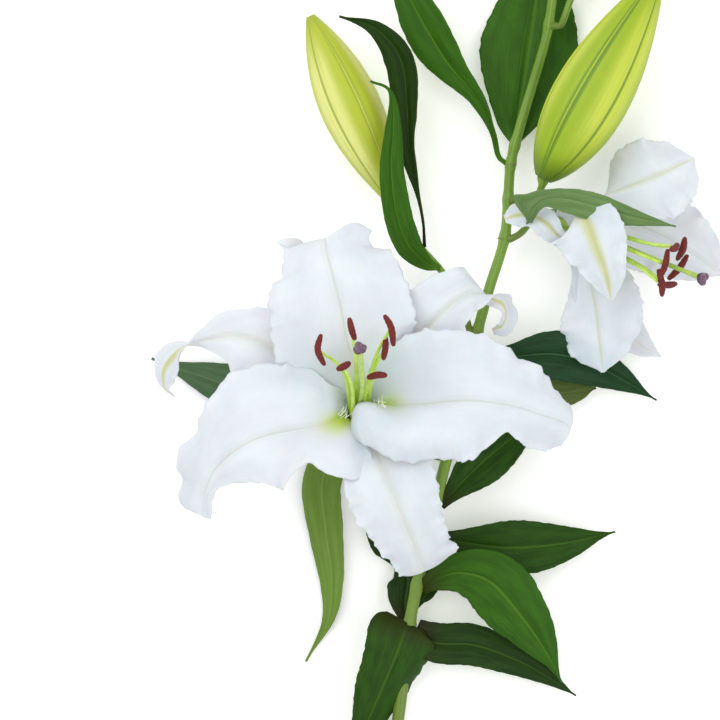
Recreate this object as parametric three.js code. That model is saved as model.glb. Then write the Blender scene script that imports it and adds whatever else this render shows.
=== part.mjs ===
// A cut stem of a white trumpet-bowl lily, laid flat: one open flower facing up, one facing sideways,
// four closed buds and fourteen leaves. Millimetres, +Z up from the table, +Y along the stem to its top.
// Places are measured from the point under the open flower; the finished group is then set down on the
// table and centred.
import * as THREE from "three";

// Driving dimensions.
const stemRadius = 3.2; // at the cut end
const stemTopRadius = 2.2; // under the end bud
const stemScale = 1; // stretches the stem's path, and everything that it carries moves with it
const flowerScale = 1; // stretches the tepals, stamens and pistil about each flower's base
const leafScale = 1; // stretches every leaf about its seat
const budScale = 1; // stretches every bud about its base
const petalThickness = 0.9;
const leafThickness = 0.8;
const stalkRadius = 1.9; // of a flower or bud stalk, where it leaves the stem
const receptacleRadius = 6.4; // the swollen end of a flower stalk
const receptacleLength = 7;
const filamentRadius = 0.8;
const antherRadius = 1.9;
const antherLength = 16;
const ovaryRadius = 2.4;
const styleRadius = 1.3;
const stigmaRadius = 3.9;
const seatGap = 0.35; // between pieces that touch

const vec = (p) => new THREE.Vector3(...p);
const degrees = Math.PI / 180;
const smooth = (u) => u * u * (3 - 2 * u);

// A value that runs evenly through a short list as t goes from 0 to 1.
function along(list, t) {
  if (typeof list === "number") return list;
  const at = t * (list.length - 1);
  const i = Math.min(Math.floor(at), list.length - 2);
  return list[i] + (list[i + 1] - list[i]) * smooth(at - i);
}

const curveThrough = (points) => new THREE.CatmullRomCurve3(points, false, "catmullrom", 0.5);

// Points along a curve, each with its tangent and a normal that turns as little as it can.
function framesAlong(curve, steps, firstNormal) {
  const frames = [];
  for (let i = 0; i <= steps; i++) {
    const tangent = curve.getTangentAt(i / steps).normalize();
    const normal = i ? frames[i - 1].normal.clone() : firstNormal.clone();
    const bend = new THREE.Quaternion();
    if (i) normal.applyQuaternion(bend.setFromUnitVectors(frames[i - 1].tangent, tangent));
    normal.addScaledVector(tangent, -normal.dot(tangent)).normalize();
    frames.push({ t: i / steps, point: curve.getPointAt(i / steps), tangent, normal });
  }
  return frames;
}

// A closed solid through rings of points, each ring going round the way of travel. The ends are closed by
// strips between a ring's two halves.
function loft(rings) {
  const count = rings[0].length;
  const faces = [];
  for (let i = 0; i + 1 < rings.length; i++) {
    for (let k = 0; k < count; k++) {
      const a = i * count + k;
      const b = i * count + ((k + 1) % count);
      faces.push(a, b, b + count, a, b + count, a + count);
    }
  }
  const last = (rings.length - 1) * count;
  for (let k = 0; k + 1 < count / 2; k++) {
    const far = count - 1 - k;
    for (const [start, flip] of [[0, true], [last, false]]) {
      const quad = [k, k + 1, far - 1, far].map((n) => n + start);
      if (flip) quad.reverse();
      faces.push(quad[0], quad[1], quad[2]);
      faces.push(quad[0], quad[2], quad[3]);
    }
  }
  const geometry = new THREE.BufferGeometry().setFromPoints(rings.flat());
  geometry.setIndex(faces);
  geometry.computeVertexNormals();
  return geometry;
}

// A round solid along a curve. radiusAt(t, angle) may change along it and round it.
function rod(curve, radiusAt, sides, steps, firstNormal = new THREE.Vector3(0.3, 0.1, 1)) {
  return loft(
    framesAlong(curve, steps, firstNormal).map(({ t, point, tangent, normal }) => {
      const side = tangent.clone().cross(normal);
      return Array.from({ length: sides }, (_, k) => {
        const angle = ((k + 0.5) / sides) * 2 * Math.PI;
        const radius = radiusAt(t, angle);
        return point
          .clone()
          .addScaledVector(normal, radius * Math.cos(angle))
          .addScaledVector(side, radius * Math.sin(angle));
      });
    }),
  );
}

// Half the width of a leaf or tepal at t, as a share of its widest.
function swell(t, { base, widest, taper, blunt }) {
  if (t < widest) return base + (1 - base) * smooth(t / widest);
  return Math.pow(Math.max(1 - Math.pow((t - widest) / (1 - widest), taper), 0), blunt);
}

// The way a blade looks at t, square to its spine.
function faceAlong(faces, t, tangent) {
  const at = t * (faces.length - 1);
  const i = Math.min(Math.floor(at), faces.length - 2);
  const face = faces[i].clone().lerp(faces[i + 1], smooth(at - i));
  return face.addScaledVector(tangent, -face.dot(tangent)).normalize();
}

// A thin closed blade along a spine. face is the way its upper side looks at the start, or a list of the
// ways it looks as it goes. fold is the slope of each half at the midrib and edge its slope at the margin,
// in degrees, and roll turns the blade about its spine.
function blade({ spine, face, half, outline, roll = 0, fold = 0, edge = 0 }, thickness, steps, across) {
  const least = 1.2;
  const faces = [face].flat();
  return loft(
    framesAlong(curveThrough(spine), steps, faces[0]).map(({ t, point, tangent, normal }) => {
      const up = faces.length > 1 ? faceAlong(faces, t, tangent) : normal.clone();
      up.applyAxisAngle(tangent, along(roll, t) * degrees);
      const side = tangent.clone().cross(up);
      const reach = Math.max(half * swell(t, outline), least);
      const first = along(fold, t) * degrees;
      const turn = along(edge, t) * degrees - first || 1e-6;
      const top = [];
      const under = [];
      for (let k = 0; k <= across; k++) {
        const v = (2 * k) / across - 1;
        const s = Math.abs(v);
        const slope = first + turn * s;
        const out = (reach * (Math.sin(slope) - Math.sin(first))) / turn;
        const lift = (reach * (Math.cos(first) - Math.cos(slope))) / turn;
        const sign = Math.sign(v);
        const middle = point.clone().addScaledVector(side, sign * out).addScaledVector(up, lift);
        const outward = up
          .clone()
          .multiplyScalar(Math.cos(slope))
          .addScaledVector(side, -sign * Math.sin(slope))
          .multiplyScalar(thickness / 2);
        top.push(middle.clone().add(outward));
        under.push(middle.clone().sub(outward));
      }
      return [...top, ...under.reverse()];
    }),
  );
}

// The looks, which are only colours here.
const finish = (colour, roughness) =>
  new THREE.MeshStandardMaterial({ color: colour, roughness, metalness: 0, side: THREE.FrontSide });
const looks = {
  stem: finish("#6f8a3c", 0.5),
  petal: finish("#eef1f2", 0.6),
  leaf: finish("#2f5a1c", 0.45),
  palerLeaf: finish("#7a9650", 0.5),
  bud: finish("#b9c65a", 0.5),
  greenBud: finish("#9dbb32", 0.5),
  filament: finish("#a6cc48", 0.5),
  anther: finish("#73302f", 0.9),
  pistil: finish("#98bb55", 0.5),
};

const lily = new THREE.Group();
function add(name, geometry, material) {
  const mesh = new THREE.Mesh(geometry, material);
  mesh.name = name;
  lily.add(mesh);
}

// The stem, from its cut end to the stalk of its end bud.
const stemPath = curveThrough(
  [
    [7, -236, 3.4],
    [13, -190, 5],
    [18, -154, 8],
    [21, -130, 11],
    [24, -105, 14],
    [29, -80, 17],
    [37, -45, 20],
    [46, -8, 22],
    [55, 30, 23],
    [63, 60, 23],
    [71, 86, 22],
    [73, 105, 21],
    [74.5, 125, 20],
    [79, 143, 19],
    [85, 163, 17],
    [92, 187, 17],
    [95, 204, 18],
    [97, 224, 20],
  ].map(([x, y, z]) => new THREE.Vector3(x, y * stemScale, z)),
);
const stemLength = stemPath.getLength();
const stemRadiusAt = (t) => stemRadius + (stemTopRadius - stemRadius) * Math.pow(t, 1.4);
add("stem", rod(stemPath, stemRadiusAt, 10, 30), looks.stem);

// The place on the stem's skin at a height along the layout's Y, on the side that a direction points to.
function seatOn(path, radiusAt, share, direction, clearance) {
  const tangent = path.getTangentAt(share);
  const away = vec(direction).addScaledVector(tangent, -vec(direction).dot(tangent)).normalize();
  return path.getPointAt(share).addScaledVector(away, radiusAt(share) + clearance);
}

// Shares of the stem's length at which its leaves and stalks sit.
function shareAtHeight(height) {
  let low = 0;
  let high = 1;
  for (let i = 0; i < 30; i++) {
    const middle = (low + high) / 2;
    if (stemPath.getPointAt(middle).y < height * stemScale) low = middle;
    else high = middle;
  }
  return low;
}
const onStem = (height, direction, clearance) =>
  seatOn(stemPath, stemRadiusAt, shareAtHeight(height), direction, clearance);

// Stalks: each leaves the stem at a height, on the side of its first step, and runs by steps from there.
// The end swells to the seat of what it carries.
const stalks = { stem: { end: stemPath.getPointAt(1), axis: stemPath.getTangentAt(1) } };
function stalk(name, height, steps, endRadius, swollen) {
  const away = vec(steps[0]).normalize();
  const start = onStem(height, away.toArray(), stalkRadius * 0.55 + seatGap);
  const points = [start];
  steps.forEach((step) => points.push(points.at(-1).clone().add(vec(step))));
  const path = curveThrough(points);
  const length = path.getLength();
  const radiusAt = (t) => {
    const toEnd = (1 - t) * length;
    return stalkRadius + (endRadius - stalkRadius) * smooth(Math.max(1 - toEnd / swollen, 0));
  };
  stalks[name] = { path, radiusAt, end: path.getPointAt(1), axis: path.getTangentAt(1) };
  add(name, rod(path, radiusAt, 8, Math.max(8, Math.round(length / 6))), looks.stem);
}
const flowerReach = 94; // of the open flower's top petal, towards the left bud
stalk(
  "open_flower_stalk", 6,
  [[-14, -3, -2], [-18, -7, -3], [-13, -7, 5], [-2.4, -1.2, 10.5], [0, 2.4, 6.2]],
  receptacleRadius, receptacleLength,
);
stalk(
  "side_flower_stalk", 88, [[5, 3, 2], [5, 6, 3], [6, 3, 2], [6, -2.5, 2.5]], receptacleRadius,
  receptacleLength,
);
stalk(
  "left_bud_stalk", 40 + flowerReach * (flowerScale - 1),
  [[-4, 12, 1], [-10, 17, 2], [-12, 14, -2], [-9, 16, -3]], 3.4, 5,
);
stalk("right_bud_stalk", 107, [[5, 0.6, 4], [6, 1, 6], [2.5, 5, 4], [1, 4, 0.5]], 3.4, 5);
stalk("top_bud_stalk", 195, [[3, 1, 1], [3, 8, 1], [5, 14, 0]], 2.8, 4);

// Buds: six tepals still closed into one spindle, with a groove where two of them meet.
function bud(name, stalkName, length, radius, direction, material) {
  const { end, axis } = stalks[stalkName];
  const long = length * budScale;
  const wide = radius * budScale;
  const way = vec(direction).normalize();
  const footRadius = wide * 0.23;
  const start = end.clone().addScaledVector(axis, seatGap + footRadius * Math.sin(axis.angleTo(way)));
  const middle = start.clone().addScaledVector(way, long * 0.5);
  const tip = start.clone().addScaledVector(way, long);
  const radiusAt = (t, angle) => {
    const body = Math.pow(Math.sin(Math.PI * Math.pow(0.02 + 0.95 * t, 0.75)), 0.85);
    return Math.max(wide * body * (1 + 0.05 * Math.cos(3 * angle)), 1.1);
  };
  add(name, rod(curveThrough([start, middle, tip]), radiusAt, 12, 9), material);
}
bud("left_bud", "left_bud_stalk", 107, 15.4, [-0.42, 0.9, 0.0], looks.bud);
bud("right_bud", "right_bud_stalk", 120, 19.5, [0.49, 0.86, 0.03], looks.greenBud);
bud("end_bud", "stem", 72, 10.5, [0.12, 0.97, 0.09], looks.greenBud);
bud("top_bud", "top_bud_stalk", 60, 9, [0.55, 0.82, 0.05], looks.greenBud);

// Leaves: steps from the seat, mm. The first is the way out of the stem.
const lance = { base: 0.22, widest: 0.42, taper: 1.5, blunt: 1 };
const heart = { base: 0.55, widest: 0.22, taper: 1.35, blunt: 0.95 };
function leafOn(name, seat, face, spine, shape) {
  const reach = leafScale * (shape.follows ?? 1);
  const points = [[0, 0, 0], ...spine].map((p) => seat.clone().addScaledVector(vec(p), reach));
  const form = { outline: lance, ...shape, spine: points, face: vec(face), half: shape.half * leafScale };
  add(name, blade(form, leafThickness, 12, 4), shape.paler ? looks.palerLeaf : looks.leaf);
}
const leafSeat = seatGap + 1.1;
function leaf(name, height, out, face, spine, shape) {
  leafOn(name, onStem(height, out, leafSeat), face, spine, shape);
}
leaf(
  "leaf_lowest", -107, [-0.3, -0.2, 1], [0.6, 0.5, 0.6],
  [[-3, -3, 4], [-9, -14, 5], [-16, -32, -1], [-23, -50, -7], [-31, -66, -13]],
  { half: 17, outline: heart, fold: [25, 12, 8], edge: [-15, -15, 5] },
);
leaf(
  "leaf_low_right", -112, [1, -0.2, 0.1], [0, 0.2, 1],
  [[12, -5, 2], [30, -6, 1], [50, -13, -3], [66, -22, -7], [79, -32, -10]],
  { half: 11, fold: [20, 8, 10], edge: [-5, -10, 0] },
);
leaf(
  "leaf_low_left", -106, [-1, 0.4, -0.3], [0, 0, 1],
  [[-3, 9, -3], [-7, 25, -6], [-14, 42, -7], [-24, 56, -7]],
  { half: 9, fold: [15, 8], edge: [0, 0] },
);
leaf(
  "leaf_arching_right", -88, [1, 0.3, 0.5], [-0.2, 0, 1],
  [[8, 5, 7], [20, 8, 12], [35, 3, 12], [50, -14, 6], [62, -31, -3], [71, -48, -10]],
  {
    half: 17, outline: { ...lance, base: 0.12, widest: 0.4 }, fold: [25, 12, 10],
    edge: [0, -15, 0],
  },
);
leaf(
  "leaf_right", -62, [1, 0, -0.2], [0, 0, 1],
  [[14, -3, -2], [38, -6, -5], [65, -4, -8], [92, 2, -10]],
  { half: 14, fold: [20, 10, 10], edge: [0, -8, 0] },
);
leaf(
  "leaf_behind_right", -47, [1, 0.1, 0.2], [0, 0, 1],
  [[8, 9, 0], [20, 21, -3], [33, 32, -6], [46, 41, -9], [58, 46, -12]],
  {
    half: 12, outline: { ...lance, base: 0.14 }, fold: [25, 12, 5], edge: [10, -5, 0],
    roll: [0, 0, 20, 60],
  },
);
leaf(
  "leaf_far_left", -24, [-1, 0.2, -0.6], [0, 0, 1],
  [[-20, 6, -9], [-50, 16, -12], [-84, 30, -14], [-112, 38, -15], [-147, 50, -18.5]],
  { half: 11, fold: [15, 8, 6], edge: [0, -5, 0] },
);
leaf(
  "leaf_hanging_left", -17, [-1, 0.3, -0.3], [0, 0, -1],
  [
    [-14, 2, -6], [-34, 2, -10], [-54, -5, -11], [-62, -20, -13], [-60, -44, -14],
    [-57, -69, -15], [-59, -89, -17], [-70, -110, -19.7],
  ],
  { half: 10, paler: true, fold: [-10, -6, 0], edge: 0 },
);
leaf(
  "leaf_mid_right", 26, [1, 0, 0.1], [0, -0.2, 1],
  [[18, 2, -2], [43, 3, -6], [68, -6, -12], [92, -20, -16]],
  { half: 13, fold: [35, 30, 20], edge: [10, 10, 5] },
);
leaf(
  "leaf_behind_middle", 6, [1, 0, -0.4], [0, 0, -1],
  [[16, 1, -7], [36, 2, -11], [54, 4, -13], [66, 6, -13]],
  { half: 8, paler: true, outline: { ...lance, widest: 0.6 }, fold: -8, edge: 0 },
);
leaf(
  "leaf_upper_left", 125, [-1, 0.3, 0.2], [-0.3, -0.5, 1],
  [[-4, 4, 1], [-7, 16, 2], [-16, 32, 3], [-30, 52, 4], [-44, 78, 1], [-58, 104, -3]],
  { half: 12, fold: [35, 25, 15], edge: [10, 0, 0] },
);
leaf(
  "leaf_behind_top", 134, [0.2, 0.3, -1], [0, 0, 1],
  [[1, 12, -5], [5, 34, -9], [9, 60, -11], [13, 86, -12], [19, 108, -15.3]],
  { half: 25, fold: [15, 8, 6], edge: [0, -5, 0], outline: { ...lance, widest: 0.42 } },
);
function onStalk(name, share, direction) {
  return seatOn(stalks[name].path, stalks[name].radiusAt, share, direction, leafSeat);
}
leafOn(
  "bract_left_bud", onStalk("left_bud_stalk", 0.52, [0.2, 0.2, 1]), [0.1, 0, 1],
  [
    [-6, 2, 5], [-14, 12, 11], [-20, 30, 14], [-22, 50, 15], [-21, 68, 15], [-24, 84, 15],
    [-34, 91, 16],
  ],
  { half: 8, fold: [25, 18, 10], edge: [0, 0, 0] },
);
leafOn(
  "bract_beside_left_bud", onStalk("left_bud_stalk", 0.7, [1, 0.6, 0.3]), [-0.4, 0.2, 1],
  [[-1, 12, 1], [-4, 28, 2], [-8, 50, 1], [-9, 72, 0], [-13, 92, 3], [-24, 106, 4], [-40, 111, 2]],
  {
    half: 7.5, fold: [40, 30, 15], edge: [20, 0, 0], roll: [0, 30, 20, 0],
    outline: { ...lance, widest: 0.62, base: 0.15 },
  },
);
// A larger side flower pushes its bract down the stalk.
const bractShare = 0.42 - 0.9 * (flowerScale - 1);
leafOn(
  "bract_side_flower", onStalk("side_flower_stalk", bractShare, [-0.2, -0.5, 1]), [0, -1, 0.3],
  [[-2, -3, 12], [-2, 1, 22], [6, 7, 29], [20, 10, 31], [38, 7, 34], [56, 3, 34], [74, 0, 30]],
  {
    follows: flowerScale, half: 11, outline: { ...lance, base: 0.12, widest: 0.3 }, fold: [30, 15, 10],
    edge: [0, -10, 0],
  },
);

// A flower's own frame: its axis points out of the trumpet, up is the side its turns are counted from,
// and a turn of 0 is to the right of that.
function flowerFrame(stalkName, axis, up) {
  const forward = vec(axis).normalize();
  const above = vec(up).addScaledVector(forward, -vec(up).dot(forward)).normalize();
  const right = above.clone().cross(forward);
  const seat = stalks[stalkName].end.clone().addScaledVector(forward, seatGap);
  const place = (turn, [out, ahead, drift = 0]) => {
    const radial = right.clone().applyAxisAngle(forward, turn * degrees);
    const aside = forward.clone().cross(radial);
    return seat
      .clone()
      .addScaledVector(radial, out)
      .addScaledVector(forward, ahead)
      .addScaledVector(aside, drift);
  };
  return { forward, place };
}

// Rings round a flower's axis: the filaments stand outside the ovary, the petals outside the filaments
// and the sepals outside the petals.
const filamentFoot = 1.25 * filamentRadius;
const filamentRing = ovaryRadius + filamentFoot + seatGap / 3;
const petalRing = filamentRing + filamentFoot + petalThickness / 2 + seatGap;
const sepalRing = petalRing + petalThickness + seatGap * 1.4;
const broad = { base: 0.09, widest: 0.52, taper: 2.4, blunt: 0.6 };
const pointed = { base: 0.09, widest: 0.5, taper: 1.7, blunt: 0.8 };
const narrow = { base: 0.13, widest: 0.45, taper: 1.8, blunt: 0.8 };
function tepal(name, frame, turn, ring, spine, shape) {
  const start = frame.place(turn, [ring, 0.5]);
  const steps = spine.map((step) => frame.place(turn, step.map((size) => size * flowerScale)));
  // It looks inwards in the tube, then straight ahead where it spreads, then outwards where it curls back.
  const outward = frame.place(turn, [1, 0]).sub(frame.place(turn, [0, 0]));
  const ways = [[-1, 0], [-0.8, 0.3], [-0.3, 1], [0, 1], [0.3, 1], [0.7, 1], [1.2, 1]];
  const face = ways.map(([out, ahead]) =>
    outward.clone().multiplyScalar(out).addScaledVector(frame.forward, ahead),
  );
  const form = { ...shape, spine: [start, ...steps], face, half: shape.half * flowerScale };
  add(name, blade(form, petalThickness, 11, 6), looks.petal);
}
const openFlower = flowerFrame("open_flower_stalk", [0, 0.36, 0.93], [0, 1, 0]);
tepal(
  "top_petal", openFlower, 100, petalRing,
  [[8, 13], [14, 27], [26, 39], [46, 47], [68, 47, 1], [86, 40, 2], [flowerReach, 29, 2], [92, 18]],
  { outline: broad, half: 34, fold: [0, 12, 14, 6, 0, 0], edge: [40, 45, 0, -15, -20, -20] },
);
tepal(
  "left_petal", openFlower, 206, petalRing,
  [[8, 13], [14, 27], [28, 40], [50, 49], [72, 48, 4], [88, 37, 8], [97, 22, 12], [98, 6, 14]],
  { outline: pointed, half: 32, fold: [0, 14, 18, 12, 5, 0], edge: [40, 45, 10, -10, -20, -20] },
);
tepal(
  "right_petal", openFlower, 353, petalRing,
  [
    [8, 13], [14, 27], [28, 40], [50, 49, 1], [72, 49, 0], [90, 41, -3], [101, 30, -6],
    [107, 18, -9],
  ],
  { outline: pointed, half: 31, fold: [0, 14, 18, 12, 5, 0], edge: [40, 42, 10, -10, -20, -20] },
);
tepal(
  "upper_left_sepal", openFlower, 160, sepalRing,
  [
    [11, 13], [19, 26], [34, 37], [54, 41], [74, 36], [90, 24, 2], [99, 13, 7], [101, 3, 12],
    [97, -2, 18], [91, 1, 20],
  ],
  { outline: narrow, half: 21, fold: [0, 10, 10, 15, 25, 25], edge: [30, 20, 0, -10, 10, 20] },
);
tepal(
  "upper_right_sepal", openFlower, 46, sepalRing,
  [
    [11, 13], [19, 26], [34, 37], [54, 42], [72, 36, -4], [83, 27, -14], [87, 16, -22],
    [82, 8, -28], [73, 9, -30],
  ],
  { outline: narrow, half: 21, fold: [0, 10, 10, 15, 25, 25], edge: [30, 20, 0, -10, 0, 10] },
);
tepal(
  "bottom_sepal", openFlower, 286, sepalRing,
  [[11, 13], [19, 26], [34, 37], [54, 42], [72, 38, 2], [84, 28, 3], [90, 15, 2], [88, 2, 0]],
  { outline: narrow, half: 24, fold: [0, 10, 10, 8, 5, 0], edge: [30, 20, 0, -10, -10, -10] },
);

// The side flower's tepals run by steps from its seat.
const sideFlower = flowerFrame("side_flower_stalk", [0.86, -0.36, 0.36], [0, 0, 1]);
function sideTepal(name, turn, ring, steps, shape) {
  const centre = sideFlower.place(0, [0, 0]);
  const start = sideFlower.place(turn, [ring * flowerScale, 0.9]);
  const spine = steps.map((step) => centre.clone().addScaledVector(vec(step), flowerScale));
  const inward = centre.clone().sub(sideFlower.place(turn, [1, 0]));
  const form = { ...shape, spine: [start, ...spine], face: inward, half: shape.half * flowerScale };
  add(name, blade(form, petalThickness, 11, 6), looks.petal);
}
sideTepal(
  "side_left_sepal", 142, sepalRing,
  [
    [4, -11, 9], [7, -16, 13], [6, -19, 17], [1, -15, 18], [-4, -6, 11], [-11, 1, 2],
    [-23, -2, -1],
  ],
  { outline: narrow, half: 8.5, fold: [0, 5, 5, 15], edge: [30, 10, 0, 0] },
);
sideTepal(
  "side_near_sepal", 58, sepalRing,
  [[9, 2, 11], [19, -1, 22], [28, -12, 30], [34, -29, 31], [39, -45, 26], [43, -57, 16]],
  { outline: narrow, half: 15, fold: [0, 10, 10, 8], edge: [30, 20, 0, -10] },
);
sideTepal(
  "side_low_sepal", 240, sepalRing,
  [[7, -11, -3], [16, -24, -9], [23, -38, -16], [32, -51, -23], [43, -62, -27], [54, -69, -31.8]],
  { outline: narrow, half: 15, fold: [0, 5, 5, 5], edge: [30, 10, 0, 0] },
);
sideTepal(
  "side_hanging_petal", 205, petalRing,
  [[9, -11, 2], [18, -22, 3], [26, -35, 3], [29, -51, 1], [28, -66, -4], [22, -78, -11]],
  {
    outline: broad, half: 24, fold: [0, 8, 5, 0], edge: [40, 20, 0, -10],
    roll: [0, 0, 40, 70, 80, 80],
  },
);
sideTepal(
  "side_upper_petal", 5, petalRing,
  [[10, 5, 3], [22, 10, 5], [36, 15, 4], [50, 21, -1], [62, 27, -8], [70, 31, -16]],
  {
    outline: broad, half: 24, fold: [0, 8, 5, 0], edge: [40, 20, 0, -10],
    roll: [0, 0, -40, -70, -80, -80],
  },
);
sideTepal(
  "side_far_petal", 300, petalRing,
  [[11, 2, -6], [24, 2, -12], [40, -2, -17], [58, -10, -22], [74, -20, -27], [84, -28, -30.8]],
  { outline: broad, half: 22, fold: [0, 8, 5, 0], edge: [40, 20, 0, -10] },
);

// Stamens: a filament from the ring round the ovary to a balanced anther.
function stamenCurve(frame, turn, reach) {
  const bottom = frame.place(turn, [filamentRing, 0.6]);
  const [out, ahead, drift] = reach.map((size) => size * flowerScale);
  return curveThrough([
    bottom,
    frame.place(turn, [filamentRing + 0.12 * out, 0.35 * ahead, 0.1 * drift]),
    frame.place(turn, [0.5 * out + 1.5, 0.72 * ahead, 0.5 * drift]),
    frame.place(turn, [out, ahead, drift]),
  ]);
}
function antherCurve(frame, turn, reach, lie) {
  const top = stamenCurve(frame, turn, reach).getPointAt(1);
  const way = vec(lie).normalize();
  const hang = frame.forward.clone().multiplyScalar(antherRadius + filamentRadius + seatGap);
  const middle = top.clone().add(hang);
  const sag = frame.forward.clone().multiplyScalar(-1.2);
  return curveThrough([
    middle.clone().addScaledVector(way, -antherLength / 2).add(sag),
    middle,
    middle.clone().addScaledVector(way, antherLength / 2).add(sag),
  ]);
}
function antherRadiusAt(t) {
  return Math.max(antherRadius * Math.pow(Math.sin(Math.PI * (0.04 + 0.92 * t)), 0.35), 0.6);
}
const filamentRadiusAt = (t) => filamentFoot - 0.6 * filamentRadius * t;
const stamens = [
  [20, [24, 74, 0], [0.25, 0.9, 0.3]],
  [75, [26, 78, 0], [0.3, -0.95, 0.2]],
  [118, [24, 76, 0], [0.1, -0.9, 0.3]],
  [165, [27, 74, 0], [0.15, -1, 0.1]],
  [235, [18, 80, 0], [1, 0.4, 0.4]],
  [310, [15, 80, 0], [1, 0.05, 0.2]],
];
stamens.forEach(([turn, reach, lie], i) => {
  const filament = stamenCurve(openFlower, turn, reach);
  const anther = antherCurve(openFlower, turn, reach, lie);
  add("filament_" + (i + 1), rod(filament, filamentRadiusAt, 6, 6), looks.filament);
  add("anther_" + (i + 1), rod(anther, antherRadiusAt, 6, 6), looks.anther);
});

// The side flower's stamens are one piece each, the anther in line with its filament.
for (let i = 0; i < 6; i++) {
  const path = stamenCurve(sideFlower, 60 * i + 35, [11, 76, 0]);
  const split = 1 - antherLength / path.getLength();
  const radiusAt = (t) => (t < split ? filamentRadiusAt(t) : antherRadiusAt((t - split) / (1 - split)));
  add("side_stamen_" + (i + 1), rod(path, radiusAt, 6, 16), looks.anther);
}

// The pistil: ovary, style and a stigma of three lobes.
function pistil(name, frame, bend) {
  const points = [[0, 0.6], [0, 30], [0.02 * bend, 58], [bend, 86]].map(([out, ahead], i) =>
    frame.place(90, i ? [out * flowerScale, ahead * flowerScale] : [out, ahead]),
  );
  const ovaryEnd = 0.28;
  const radiusAt = (t, angle) => {
    const ovary = ovaryRadius * (1 - smooth(Math.min(t / ovaryEnd, 1)) * (1 - styleRadius / ovaryRadius));
    const knob = smooth(Math.max((t - 0.93) / 0.07, 0));
    const lobes = stigmaRadius * (0.78 + 0.22 * Math.cos(3 * angle));
    return Math.max(ovary * (1 - knob) + lobes * knob, 0.5);
  };
  add(name, rod(curveThrough(points), radiusAt, 9, 14), looks.pistil);
}
pistil("pistil", openFlower, 6);
pistil("side_pistil", sideFlower, 4);

// Set down on the table and centred.
lily.updateMatrixWorld(true);
const box = new THREE.Box3().setFromObject(lily, true);
const middle = box.getCenter(new THREE.Vector3());
lily.position.set(-middle.x, -middle.y, -box.min.z);
export default lily;
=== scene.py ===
import math

import bpy
import numpy as np
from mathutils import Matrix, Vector


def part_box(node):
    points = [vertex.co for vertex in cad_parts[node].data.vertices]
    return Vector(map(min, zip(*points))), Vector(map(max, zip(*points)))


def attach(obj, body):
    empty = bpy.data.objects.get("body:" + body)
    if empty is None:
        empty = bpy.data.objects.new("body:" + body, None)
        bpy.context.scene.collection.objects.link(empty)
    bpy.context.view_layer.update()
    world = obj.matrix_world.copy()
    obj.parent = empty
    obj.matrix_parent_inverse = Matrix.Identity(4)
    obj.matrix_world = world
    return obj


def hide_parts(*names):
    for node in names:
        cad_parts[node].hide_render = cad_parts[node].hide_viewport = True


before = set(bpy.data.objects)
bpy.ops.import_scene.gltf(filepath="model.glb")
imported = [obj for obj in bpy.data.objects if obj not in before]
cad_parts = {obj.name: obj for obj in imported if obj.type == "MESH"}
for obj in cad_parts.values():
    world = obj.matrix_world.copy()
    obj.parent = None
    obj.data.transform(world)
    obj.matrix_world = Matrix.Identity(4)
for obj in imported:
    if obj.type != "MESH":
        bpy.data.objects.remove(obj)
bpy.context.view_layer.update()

# The lily is laid out in millimetres from the point under its open flower, as its solids are.
# The stem's lowest corner says where that layout sits in the frame.
stemLowCorner = np.array((3.945, -236.426, 0.204))
layoutShift = np.array(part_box("stem")[0]) * 1000 - stemLowCorner


def toMetres(points):
    return (np.asarray(points, float) + layoutShift) / 1000


def unit(v):
    v = np.asarray(v, float)
    return v / np.linalg.norm(v, axis=-1, keepdims=True)


def ease(x):
    x = np.clip(x, 0, 1)
    return x * x * (3 - 2 * x)


# evenly spaced points on a smooth curve through the given ones
def smoothPath(points, count):
    p = np.asarray(points, float)
    p = np.vstack((2 * p[0] - p[1], p, 2 * p[-1] - p[-2]))
    dense = []
    for a, b, c, d in zip(p[:-3], p[1:-2], p[2:-1], p[3:]):
        t = np.linspace(0, 1, 24, endpoint=False)[:, None]
        bend = (2 * a - 5 * b + 4 * c - d) * t**2 + (3 * b - 3 * c + d - a) * t**3
        dense.append(0.5 * (2 * b + (c - a) * t + bend))
    dense = np.vstack((*dense, p[-2]))
    run = np.concatenate(([0], np.cumsum(np.linalg.norm(np.diff(dense, axis=0), axis=1))))
    even = np.linspace(0, run[-1], count)
    return np.stack([np.interp(even, run, dense[:, k]) for k in range(3)], 1)


# a smooth run through values spaced evenly from t = 0 to t = 1
def runOf(values, t):
    v = np.atleast_1d(np.asarray(values, float))
    if len(v) == 1:
        return np.full(np.shape(t), v[0])
    at = np.clip(t, 0, 1) * (len(v) - 1)
    i = np.minimum(at.astype(int), len(v) - 2)
    f = at - i
    e = np.concatenate(([v[0]], v, [v[-1]]))
    a, b, c, d = e[i], e[i + 1], e[i + 2], e[i + 3]
    bend = (2 * a - 5 * b + 4 * c - d) * f**2
    return 0.5 * (2 * b + (c - a) * f + bend + (3 * b - 3 * c + d - a) * f**3)


# tangents along a path, and a normal carried along it without twisting
def carryNormal(path, first):
    tangents = unit(np.gradient(path, axis=0))
    normals = []
    n = np.asarray(first, float)
    for t in tangents:
        n = unit(n - t * (n @ t))
        normals.append(n)
    return tangents, np.array(normals)


# an uneven wave, about -1 to 1
def waver(t, waves, seed):
    r = np.random.default_rng(100 + seed)
    total = sum(np.sin(2 * np.pi * waves * k * t + r.uniform(0, 6.3)) / k for k in (1.0, 1.63, 2.71))
    return total / 1.6


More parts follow.
